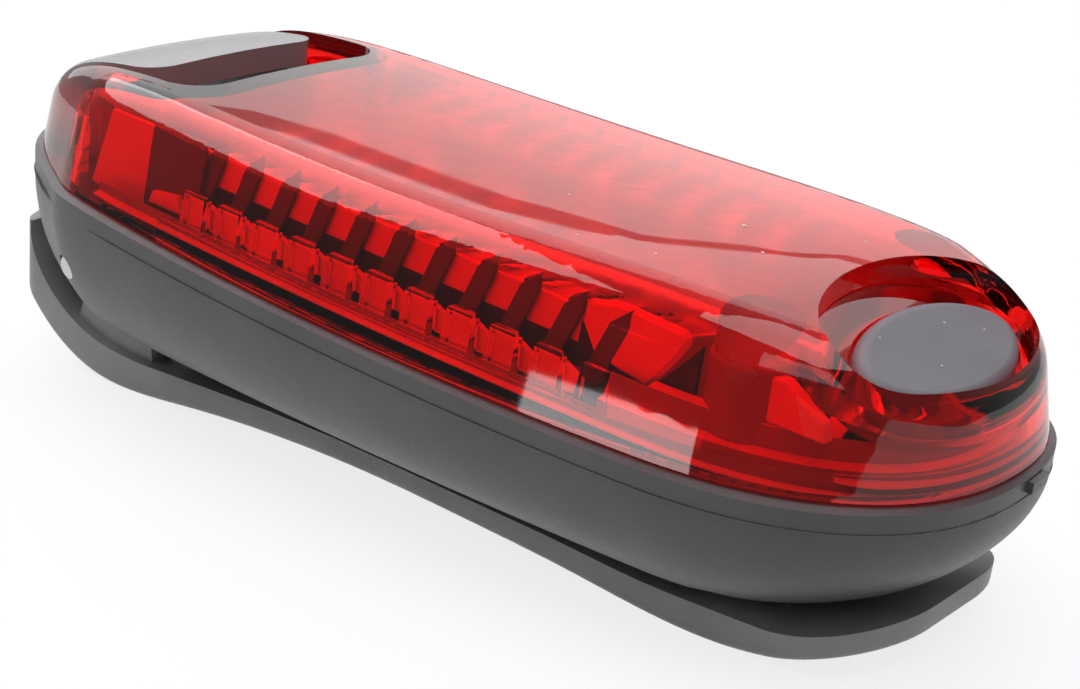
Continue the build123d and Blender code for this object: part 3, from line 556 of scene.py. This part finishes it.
# Chamber liners
# Pale moulded liners close the hollow arms beside the lanyard notch. Each clips in behind the wall of
# the cover, with a dark gate towards the teeth and a small chock in front of it.
LINER_Y = -10.65 * MM
LINER_BACK_Y = LINER_Y + 0.3 * MM
GATE_FRONT_Y = LINER_Y - 0.35 * MM
GATE_BACK_Y = LINER_Y - 0.02 * MM
CHOCK_FRONT_Y = LINER_Y - 0.9 * MM
CHOCK_BACK_Y = LINER_Y - 0.37 * MM
LINER_EDGE = 0.08 * MM
GATE_EDGE = 0.1 * MM
LINER_OUTLINE = ((-26.6, -0.2), (-20.4, -0.2), (-19.6, 6.0), (-24.2, 6.0))
CHOCK_OUTLINE = ((-19.4, 1.3), (-16.2, 1.3), (-16.6, 2.5), (-19.0, 2.2))
GATE_OUTLINE = ((-20.6, 0.4), (-15.6, 0.4), (-14.6, 5.4), (-14.9, 6.4), (-19.7, 6.2))


def plate(name, outline, low_y, high_y):
    """Bar across the light with an outline in mm."""
    return prism(name, [(x * MM, z * MM) for x, z in outline], low_y, high_y)


liner = soften(plate("liner_near", LINER_OUTLINE, LINER_Y, LINER_BACK_Y), LINER_EDGE)
gate = soften(plate("gate_near", GATE_OUTLINE, GATE_FRONT_Y, GATE_BACK_Y), GATE_EDGE)
chock = soften(plate("chock_near", CHOCK_OUTLINE, CHOCK_FRONT_Y, CHOCK_BACK_Y), GATE_EDGE)
set_down_pair(chock, pale_plastic)
set_down_pair(liner, pale_plastic)
set_down_pair(gate, maroon_plastic)

# Blocks and sleeves at the button end
# A bevelled pale block ends each row of teeth. A dark red moulded sleeve stands round each screw post,
# with a wedge and a rounded lug beside it that locate the cover when it is screwed down.
DEEP_RED = (0.3, 0.22, 0.22)
END_BLOCK = ((15.9, 5.1), (16.0, 6.4), (18.4, 6.9), (22.9, 6.75), (23.2, 6.3), (22.5, 5.1), (20.8, 2.8),
             (17.0, 3.4))
END_SHADE = ((15.4, 0.6), (23.6, 0.6), (23.8, 6.2), (20.8, 2.7), (17.0, 3.3), (15.8, 5.0))
WEDGE = ((27.0, 3.5), (31.6, 3.5), (31.3, 4.6), (28.8, 6.0), (27.2, 6.1))
BLOCK_FRONT_Y = -10.6 * MM
BLOCK_BACK_Y = -9.9 * MM
BLOCK_EDGE = 0.32 * MM
SHADE_FRONT_Y = -10.3 * MM
SHADE_BACK_Y = -10.0 * MM
WEDGE_BACK_Y = -9.0 * MM
WEDGE_EDGE = 0.15 * MM
POST_X = 26.0 * MM
POST_Y = -8.6 * MM
POST_LOW_Z = 0.2 * MM
POST_CORNERS = 40
POST_SEGMENTS = 4
POST_EDGE_ANGLE = 50
POST_FLAT_TOP = 0.95
SLEEVE_RADIUS = 2.4 * MM
SLEEVE_TOP_Z = 6.4 * MM
SLEEVE_EDGE = 0.4 * MM
LUG_X = 28.6 * MM
LUG_Y = -6.6 * MM
LUG_RADIUS = 1.1 * MM
LUG_TOP_Z = 6.9 * MM
LUG_EDGE = 0.9 * MM


def round_post(name, x, y, radius, high_z, edge):
    """Upright round pillar with a rounded upper edge."""
    bpy.ops.mesh.primitive_cylinder_add(vertices=POST_CORNERS, radius=radius, depth=high_z - POST_LOW_Z)
    piece = bpy.context.active_object
    piece.name = name
    piece.data.transform(Matrix.Translation((x, y, (POST_LOW_Z + high_z) / 2)))
    soften(piece, edge, POST_SEGMENTS, POST_EDGE_ANGLE)
    for polygon in piece.data.polygons:
        polygon.use_smooth = abs(polygon.normal.z) < POST_FLAT_TOP
    return piece


deep_red_plastic = moulded("deep_red_plastic", DEEP_RED, PALE_ROUGHNESS, THIN_DEPTH)
end_block = soften(plate("end_block_near", END_BLOCK, BLOCK_FRONT_Y, BLOCK_BACK_Y), BLOCK_EDGE, 1)
end_shade = plate("end_shade_near", END_SHADE, SHADE_FRONT_Y, SHADE_BACK_Y)
wedge = soften(plate("wedge_near", WEDGE, BLOCK_BACK_Y, WEDGE_BACK_Y), WEDGE_EDGE)
sleeve = round_post("sleeve_near", POST_X, POST_Y, SLEEVE_RADIUS, SLEEVE_TOP_Z, SLEEVE_EDGE)
lug = round_post("lug_near", LUG_X, LUG_Y, LUG_RADIUS, LUG_TOP_Z, LUG_EDGE)
set_down_pair(end_block, pale_plastic)
set_down_pair(wedge, pale_plastic)
set_down_pair(end_shade, shadow_plastic)
set_down_pair(sleeve, deep_red_plastic)
set_down_pair(lug, maroon_plastic)

# Terrace round the button end
# The moulded rim of the cover steps up in three ledges round the button end. The treads are pale and catch
# the light, and the risers between them are painted dark red as painted shade.
BODY_HALF_LENGTH = 38.0 * MM
BODY_HALF_WIDTH = 14.6 * MM
BULGE = 1.75 * MM
END_ROUND = 16.0 * MM
TAIL_ROUND = 17.8 * MM
END_POWER = 2 / 2.4
STRAIGHT_SHARE = 0.36
STRIP_STEPS = 90
TERRACE_START_X = -24.0 * MM
TERRACE_SHEET = 0.12 * MM

# Each strip runs from one share of the way round to another. Its lower and its upper edge follow, each
# as inset and height in mm.
TREADS = ((0.0, 1.0, (1.42, 0.6), (1.98, 0.72)), (0.336, 0.664, (1.95, 1.95), (2.7, 2.05)),
          (0.355, 0.42, (2.75, 3.35), (3.4, 3.45)), (0.58, 0.645, (2.75, 3.35), (3.4, 3.45)))
RISERS = ((0.0, 1.0, (1.98, 0.72), (1.98, 1.4)), (0.336, 0.664, (1.95, 1.2), (1.95, 1.95)),
          (0.336, 0.664, (2.7, 2.05), (2.75, 3.35)))


def rim_point(share, inset, start_x):
    """Place on the body's outline, moved in by inset, from the near side round to the far side."""
    half_length = BODY_HALF_LENGTH - inset
    radius = END_ROUND - inset
    tail_radius = TAIL_ROUND - inset
    if STRAIGHT_SHARE < share < 1 - STRAIGHT_SHARE:
        angle = math.pi * (share - 0.5) / (1 - 2 * STRAIGHT_SHARE)
        x = half_length - radius + radius * max(math.cos(angle), 0.0) ** END_POWER
        side = math.copysign(abs(math.sin(angle)) ** END_POWER, angle)
    else:
        reach = min(share, 1 - share) / STRAIGHT_SHARE
        x = start_x + reach * (half_length - radius - start_x)
        past = max(-(half_length - tail_radius) - x, 0.0) / tail_radius
        side = math.copysign((1 - past ** (2 / END_POWER)) ** (END_POWER / 2), share - 0.5)
    return x, side * (BODY_HALF_WIDTH - inset - BULGE * (x / half_length) ** 2)


def ledge(name, strip, start_x, thickness, rise=0.0):
    """Strip round the button end, lifted by rise at the end of the body."""
    first, last, lower, upper = strip
    bpy.ops.mesh.primitive_grid_add(x_subdivisions=STRIP_STEPS, y_subdivisions=1, size=1.0)
    piece = bpy.context.active_object
    piece.name = name
    for vertex in piece.data.vertices:
        share = first + (vertex.co.x + 0.5) * (last - first)
        inset, z = upper if vertex.co.y > 0 else lower
        x, y = rim_point(share, inset * MM, start_x)
        vertex.co = (x, y, z * MM + rise * (x / BODY_HALF_LENGTH) ** 2)
    edit(piece)
    bpy.ops.mesh.normals_make_consistent(inside=False)
    bpy.ops.object.mode_set(mode="OBJECT")
    sheet = piece.modifiers.new("sheet", "SOLIDIFY")
    sheet.thickness = thickness
    sheet.offset = 0
    bpy.context.view_layer.objects.active = piece
    bpy.ops.object.modifier_apply(modifier="sheet")
    return piece


treads = [ledge("tread", strip, TERRACE_START_X, TERRACE_SHEET) for strip in TREADS]
# Risers painted dark red: painted shade between the pale treads.
risers = [ledge("riser", strip, TERRACE_START_X, TERRACE_SHEET) for strip in RISERS]
set_down(join("terrace_treads", treads), pale_plastic)
set_down(join("terrace_risers_painted_shade", risers), deep_red_plastic)

# Parting bead, pry nib and pin heads
# A fine raised bead runs round the rim of the base where the halves of its mould met, and a small
# moulded nib at the button end helps to pry the cover off. The hinge pin is riveted over at both ends.
BEAD_START_X = -37.2 * MM
BEAD_RISE = 1.2 * MM
BEAD_HEIGHT = 0.14 * MM
BEAD = (0.0, 1.0, (-0.4, -1.72), (-0.4, -1.54))
NIB = (0.503, 0.514, (-0.42, -1.25), (-0.42, -0.55))
NIB_HEIGHT = 0.7 * MM
NIB_EDGE = 0.12 * MM
HEAD_CORNERS = 36
HEAD_RADIUS = 0.98 * MM
HEAD_DEPTH = 0.6 * MM
HEAD_EDGE = 0.12 * MM

bead = ledge("parting_bead", BEAD, BEAD_START_X, BEAD_HEIGHT, BEAD_RISE)
set_down(bead, dark_plastic)
nib = soften(ledge("pry_nib", NIB, BEAD_START_X, NIB_HEIGHT, BEAD_RISE), NIB_EDGE)
set_down(nib, dark_plastic)
pin_low, pin_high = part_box("hinge_pin")
heads = []
for y in (pin_low.y, pin_high.y):
    bpy.ops.mesh.primitive_cylinder_add(vertices=HEAD_CORNERS, radius=HEAD_RADIUS, depth=HEAD_DEPTH)
    head = bpy.context.active_object
    across = Matrix.Rotation(math.pi / 2, 4, "X")
    head.data.transform(Matrix.Translation(HINGE_PLACE + Vector((0, y, 0))) @ across)
    heads.append(soften(head, HEAD_EDGE, 3))
set_down(join("pin_heads", heads), steel)

# Button seat
# A frosted ring under the button closes the dish of the cover. It is moulded flat and lies on the
# board's side of the dish, clear of the button when that is pressed.
SEAT_X = 31.6 * MM
SEAT_HALF_LENGTH = 4.7 * MM
SEAT_HALF_WIDTH = 9.0 * MM
SEAT_Z = 1.6 * MM
SEAT_RING = 2.0 * MM
SEAT_SHEET = 0.3 * MM
SEAT_CORNERS = 64

bpy.ops.mesh.primitive_circle_add(vertices=SEAT_CORNERS, radius=1.0, fill_type="NGON")
seat = bpy.context.active_object
seat.name = "button_seat"
edit(seat)
bpy.ops.transform.resize(value=(SEAT_HALF_LENGTH, SEAT_HALF_WIDTH, 1), center_override=(0, 0, 0))
bpy.ops.transform.translate(value=(SEAT_X, 0, SEAT_Z))
bpy.ops.mesh.inset(thickness=SEAT_RING)
bpy.ops.mesh.delete(type="FACE")
bpy.ops.mesh.select_all(action="SELECT")
bpy.ops.mesh.normals_make_consistent(inside=False)
bpy.ops.object.mode_set(mode="OBJECT")
seat_sheet = seat.modifiers.new("sheet", "SOLIDIFY")
seat_sheet.thickness = SEAT_SHEET
bpy.ops.object.modifier_apply(modifier="sheet")
set_down(seat, frosted_plastic)

# Seal and push button
# The button is soft dark rubber with a matt face, held by a flange under the cover. The seal is a cord
# of the same stock, squeezed between the cover and the base.
RUBBER_GREY = (0.15, 0.15, 0.172)
RUBBER_ROUGHNESS = 0.55

rubber = moulded("button_rubber", RUBBER_GREY, RUBBER_ROUGHNESS, SMOOTH_DEPTH)
dress("seal_gasket", rubber)
dress("push_button", rubber)

# Lens cover
# The cover is clear red moulded acrylic, polished outside with a faint haze of use. The ceiling inside
# has a pebbled, frosted surface that spreads the light. Two screws from below hold it to the base.
RED = (0.95, 0.014, 0.012)
SHADE_RED = (0.98, 0.05, 0.045)
ACRYLIC_IOR = 1.49
LENS_GLOSS = 0.015
HAZE_SIZE = 4.0 * MM
HAZE_DETAIL = 4.0
HAZE_STRETCH = (1, 0.3, 1)
HAZE_LOW = 0.01
HAZE_HIGH = 0.035
PEBBLE_SIZE = 2.4 * MM
PEBBLE_DEPTH = 0.04 * MM
FROST_ROUGHNESS = 0.24
CEILING_Z = 4.5 * MM
CEILING_FACING = -0.75

lens_red, lens_shader = new_finish("lens_red", RED, LENS_GLOSS)
lens_shader.inputs["Transmission Weight"].default_value = 1.0
lens_shader.inputs["IOR"].default_value = ACRYLIC_IOR
lens_nodes = lens_red.node_tree.nodes
lens_links = lens_red.node_tree.links
lens_path = lens_nodes.new("ShaderNodeLightPath")
lens_clear = lens_nodes.new("ShaderNodeBsdfTransparent")
lens_clear.inputs["Color"].default_value = (*SHADE_RED, 1)
lens_mix = lens_nodes.new("ShaderNodeMixShader")
lens_links.new(lens_path.outputs["Is Shadow Ray"], lens_mix.inputs["Fac"])
lens_links.new(lens_shader.outputs["BSDF"], lens_mix.inputs[1])
lens_links.new(lens_clear.outputs["BSDF"], lens_mix.inputs[2])
lens_links.new(lens_mix.outputs["Shader"], lens_nodes["Material Output"].inputs["Surface"])
lens_frost = lens_red.copy()
lens_frost.name = "lens_red_inside"
frost_shader = lens_frost.node_tree.nodes["Principled BSDF"]
frost_shader.inputs["Roughness"].default_value = FROST_ROUGHNESS
relief(lens_frost, frost_shader, grain(lens_frost, PEBBLE_SIZE), PEBBLE_DEPTH)
haze = grain(lens_red, HAZE_SIZE, HAZE_DETAIL, HAZE_STRETCH)
lens_links.new(spread(lens_red, haze, HAZE_LOW, HAZE_HIGH), lens_shader.inputs["Roughness"])

lens = second_skin("lens_cover", "clear_cover")
lens.data.materials.clear()
lens.data.materials.append(lens_red)
lens.data.materials.append(lens_frost)
roof = stand.to_3x3() @ Vector((0, 0, 1))
for polygon in lens.data.polygons:
    height = (stand.inverted() @ polygon.center).z
    ceiling = polygon.normal.dot(roof) < CEILING_FACING and height > CEILING_Z
    polygon.material_index = 1 if ceiling else 0
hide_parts("lens_cover")
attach(lens, "housing")

# Dust
# A few grains of pale dust and lint lie loose on the cover and the button, as on a light in use.
# Each is a flattened grain, given by its place on the housing and its radius in mm.
DUST_GREY = (0.75, 0.7, 0.68)
DUST_ROUGHNESS = 0.9
DUST_SHAPE = (1, 0.7, 0.5, 1)
DUST_FALL_Z = 20.0
BUTTON_START_X = 29.0
DUST_PLACES = ((18.9, -0.6, 0.17), (9.0, -4.4, 0.1), (13.4, -9.0, 0.09), (18.2, -8.0, 0.1),
               (-2.0, 2.5, 0.08), (-9.5, -3.0, 0.09), (4.6, 6.2, 0.1), (24.5, 3.6, 0.08),
               (22.0, -3.2, 0.1), (-15.2, 4.0, 0.07), (15.5, 8.0, 0.09), (31.0, 2.2, 0.09),
               (33.2, -1.6, 0.08), (30.2, -3.4, 0.07), (32.4, 4.4, 0.07))

grains = []
for x, y, radius in DUST_PLACES:
    start = stand @ (Vector((x, y, DUST_FALL_Z)) * MM)
    target = frame["nodes"]["push_button"] if x > BUTTON_START_X else lens
    place = target.ray_cast(start, -roof)[1]
    bpy.ops.mesh.primitive_ico_sphere_add(subdivisions=2, radius=radius * MM)
    speck = bpy.context.active_object
    speck.data.transform(Matrix.Translation(place) @ Matrix.Diagonal(DUST_SHAPE))
    grains.append(speck)
dust = join("dust", grains)
dust.data.materials.clear()
dust.data.materials.append(moulded("dust", DUST_GREY, DUST_ROUGHNESS, THIN_DEPTH))
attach(dust, "housing")

# Camera
# It stands where the photograph was taken from, in the frame of the upright housing. Its distance and
# shifts are in metres, and its focal length and centre in pixels of the photograph.
CAMERA_AZIMUTH = math.radians(37.92)
CAMERA_ELEVATION = math.radians(23.453)
CAMERA_ROLL = math.radians(6.441)
CAMERA_DISTANCE = 0.13289
CAMERA_SIDE = 0.0030015
CAMERA_RISE = -0.0044697
CAMERA_NEAR = 0.01
PHOTO_WIDTH = 1080
PHOTO_HEIGHT = 689
PHOTO_CENTRE = (536.687, 343.55)
FOCAL_PIXELS = 2059.98
SENSOR_WIDTH = 36.0

back = Vector((math.sin(CAMERA_AZIMUTH) * math.cos(CAMERA_ELEVATION),
               -math.cos(CAMERA_AZIMUTH) * math.cos(CAMERA_ELEVATION), math.sin(CAMERA_ELEVATION)))
level = (-back).cross(Vector((0, 0, 1))).normalized()
upright = level.cross(-back)
right = level * math.cos(CAMERA_ROLL) + upright * math.sin(CAMERA_ROLL)
up = upright * math.cos(CAMERA_ROLL) - level * math.sin(CAMERA_ROLL)
eye = back * CAMERA_DISTANCE + right * CAMERA_SIDE + up * CAMERA_RISE
axes = Matrix((right, up, back)).transposed().to_4x4()
camera_data = bpy.data.cameras.new("camera")
camera_data.sensor_fit = "HORIZONTAL"
camera_data.sensor_width = SENSOR_WIDTH
camera_data.lens = FOCAL_PIXELS * SENSOR_WIDTH / PHOTO_WIDTH
camera_data.shift_x = (PHOTO_WIDTH / 2 - PHOTO_CENTRE[0]) / PHOTO_WIDTH
camera_data.shift_y = (PHOTO_CENTRE[1] - PHOTO_HEIGHT / 2) / PHOTO_WIDTH
camera_data.clip_start = CAMERA_NEAR
camera = bpy.data.objects.new("camera", camera_data)
camera.matrix_world = stand @ Matrix.Translation(eye) @ axes
bpy.context.scene.collection.objects.link(camera)
bpy.context.scene.camera = camera

# Soft boxes
# Two boxes behind are mirrored in the roof, one at the side in its near shoulder, and a small low one
# in the long wall. One above and one in front fill.
LAMP_AIM = Vector((0, 0, 12 * MM))
HANGING_HEIGHT = 60

# Each box has a bearing from +X and a climb in degrees, then its distance, width and height in metres,
# and a brightness, where 1 is white. Boxes stand upright, but for one above the hanging height, which
# leans over the light.
SOFT_BOXES = (("low_back_box", 129.0, 16.5, 0.52, 0.75, 0.2, 1.05),
              ("high_back_box", 129.0, 45.0, 0.72, 0.75, 0.49, 1.35),
              ("side_box", 192.0, 49.0, 0.55, 0.45, 0.36, 3.3),
              ("front_box", 300.0, 42.0, 0.6, 0.32, 0.32, 1.5),
              ("top_box", -10.0, 80.0, 0.5, 0.42, 0.42, 2.9),
              ("low_box", -107.5, -3.9, 0.5, 0.19, 0.046, 5.5))


def soft_box(name, bearing, climb, distance, width, height, brightness):
    """Rectangular lamp that faces the light."""
    data = bpy.data.lights.new(name, "AREA")
    data.shape = "RECTANGLE"
    data.size = width
    data.size_y = height
    data.energy = brightness * math.pi * width * height
    lamp = bpy.data.objects.new(name, data)
    round_angle = math.radians(bearing)
    climb_angle = math.radians(climb)
    away = Vector((math.cos(round_angle) * math.cos(climb_angle),
                   math.sin(round_angle) * math.cos(climb_angle), math.sin(climb_angle)))
    facing = Vector((away.x, away.y, 0)) if climb < HANGING_HEIGHT else away
    turned = facing.to_track_quat("Z", "Y").to_matrix().to_4x4()
    lamp.matrix_world = Matrix.Translation(LAMP_AIM + away * distance) @ turned
    bpy.context.scene.collection.objects.link(lamp)


for values in SOFT_BOXES:
    soft_box(*values)

# Floor
# A matt white sheet lies under the light and runs back behind it. To the camera, and in mirrors and
# glass, it looks mostly plain white, and it keeps the shadow of the light.
FLOOR_SIZE = 0.6
FLOOR_MIDDLE = (0, 0.18, 0)
FLOOR_WHITE = (0.9, 0.9, 0.9)
FLOOR_DARKER = (0.89, 0.89, 0.89)
FLOOR_LIGHTER = (0.91, 0.91, 0.91)
FLOOR_ROUGHNESS = 0.6
FLOOR_MOTTLE = 50 * MM
BACKDROP_SHARE = 0.8

bpy.ops.mesh.primitive_plane_add(size=FLOOR_SIZE, location=FLOOR_MIDDLE)
floor = bpy.context.active_object
floor.name = "floor"
floor_white, floor_shader = new_finish("floor_white", FLOOR_WHITE, FLOOR_ROUGHNESS)
floor_nodes = floor_white.node_tree.nodes
floor_links = floor_white.node_tree.links
mottle = spread(floor_white, grain(floor_white, FLOOR_MOTTLE), 0.0, 1.0)
floor_links.new(tint(floor_white, mottle, FLOOR_DARKER, FLOOR_LIGHTER), floor_shader.inputs["Base Color"])
seen = floor_nodes.new("ShaderNodeLightPath")
seen_share = seen.outputs["Is Camera Ray"]
for ray in ("Is Glossy Ray", "Is Transmission Ray"):
    either = floor_nodes.new("ShaderNodeMath")
    either.operation = "ADD"
    floor_links.new(seen_share, either.inputs[0])
    floor_links.new(seen.outputs[ray], either.inputs[1])
    seen_share = either.outputs["Value"]
white_share = floor_nodes.new("ShaderNodeMapRange")
floor_links.new(seen_share, white_share.inputs["Value"])
white_share.inputs["To Max"].default_value = BACKDROP_SHARE
white = floor_nodes.new("ShaderNodeEmission")
floor_mix = floor_nodes.new("ShaderNodeMixShader")
floor_links.new(white_share.outputs["Result"], floor_mix.inputs["Fac"])
floor_links.new(floor_shader.outputs["BSDF"], floor_mix.inputs[1])
floor_links.new(white.outputs["Emission"], floor_mix.inputs[2])
floor_links.new(floor_mix.outputs["Shader"], floor_nodes["Material Output"].inputs["Surface"])
floor.data.materials.append(floor_white)

# Room
# The room is pale behind the light and darker in front, so that the long wall of the cover mirrors a
# dim room.
PALE_SIDE = (-0.6, 0.8, 0.0)
DIM_STRENGTH = 0.2
PALE_STRENGTH = 0.42
DIM_END = -0.1
PALE_END = 0.5

room = bpy.data.worlds.new("studio")
bpy.context.scene.world = room
room.use_nodes = True
room_nodes = room.node_tree.nodes
room_links = room.node_tree.links
sky = room_nodes["Background"]
sky.inputs["Color"].default_value = (1, 1, 1, 1)
around = room_nodes.new("ShaderNodeTexCoord")
towards = room_nodes.new("ShaderNodeVectorMath")
towards.operation = "DOT_PRODUCT"
towards.inputs[1].default_value = PALE_SIDE
strength = room_nodes.new("ShaderNodeMapRange")
for name, value in (("From Min", DIM_END), ("From Max", PALE_END), ("To Min", DIM_STRENGTH),
                    ("To Max", PALE_STRENGTH)):
    strength.inputs[name].default_value = value
room_links.new(around.outputs["Generated"], towards.inputs[0])
room_links.new(towards.outputs["Value"], strength.inputs["Value"])
room_links.new(strength.outputs["Result"], sky.inputs["Strength"])

bpy.context.scene.view_settings.view_transform = "Standard"
